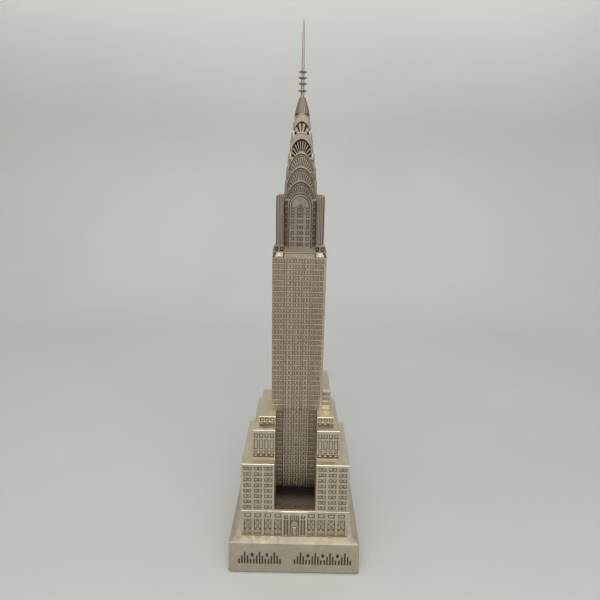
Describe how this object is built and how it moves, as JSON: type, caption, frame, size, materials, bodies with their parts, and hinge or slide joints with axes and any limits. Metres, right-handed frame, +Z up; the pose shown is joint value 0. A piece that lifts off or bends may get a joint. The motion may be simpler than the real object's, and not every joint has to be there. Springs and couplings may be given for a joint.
{
  "type": "miniature landmark model",
  "caption": "Cast-metal desk model of a setback art-deco skyscraper with an open front court, arched crown and ringed needle spire on a bevelled rectangular plinth.",
  "frame": {"origin": "on the surface the model stands on, under the centre of the plinth's outline", "axes": "+Z up; the front face with the court and entrance looks to -Y; +X is to the right of a viewer in front"},
  "size_m": [0.0968, 0.0762, 0.381],
  "materials": {
    "plinth_pewter": "satin antique-pewter plating on a zinc casting, fine sand-cast grain",
    "podium_pewter": "satin antique-pewter plating, dark patina left in the window recesses",
    "shaft_pewter": "satin antique-pewter plating, dark patina left between the ribs and in the windows",
    "crown_pewter": "satin antique-pewter plating, bright rims over dark window fans",
    "steel": "bright zinc-plated steel",
    "felt": "black pressed felt"
  },
  "bodies": {
    "root": {"arch_bay_front": "crown_pewter", "arch_bay_left": "crown_pewter", "arch_bay_rear": "crown_pewter", "arch_bay_right": "crown_pewter", "base_cover": "steel", "base_screw_1": "steel", "base_screw_2": "steel", "base_screw_3": "steel", "base_screw_4": "steel", "corner_block_front_left": "shaft_pewter", "corner_block_front_right": "shaft_pewter", "corner_block_rear_left": "shaft_pewter", "corner_block_rear_right": "shaft_pewter", "corner_pier_front_left": "crown_pewter", "corner_pier_front_right": "crown_pewter", "corner_pier_rear_left": "crown_pewter", "corner_pier_rear_right": "crown_pewter", "crown_cone": "crown_pewter", "crown_tier_1": "crown_pewter", "crown_tier_2": "crown_pewter", "crown_tier_3": "crown_pewter", "crown_tier_4": "crown_pewter", "crown_tier_5": "crown_pewter", "drum": "crown_pewter", "entrance_portal": "podium_pewter", "felt_pad": "felt", "lower_wing_left": "podium_pewter", "lower_wing_right": "podium_pewter", "middle_wing_left": "podium_pewter", "middle_wing_right": "podium_pewter", "plinth": "plinth_pewter", "shaft_cap": "shaft_pewter", "shaft_panel_front": "shaft_pewter", "shaft_panel_left": "shaft_pewter", "shaft_panel_rear": "shaft_pewter", "shaft_panel_right": "shaft_pewter", "side_annex": "podium_pewter", "spire_needle": "crown_pewter", "spire_ring_1": "crown_pewter", "spire_ring_2": "crown_pewter", "spire_ring_3": "crown_pewter", "spire_ring_4": "crown_pewter", "street_block": "podium_pewter", "string_course": "podium_pewter", "tie_nut": "steel", "tie_rod": "steel", "tie_washer": "steel", "upper_wing_left": "podium_pewter", "upper_wing_right": "podium_pewter"}
  },
  "joints": []
}
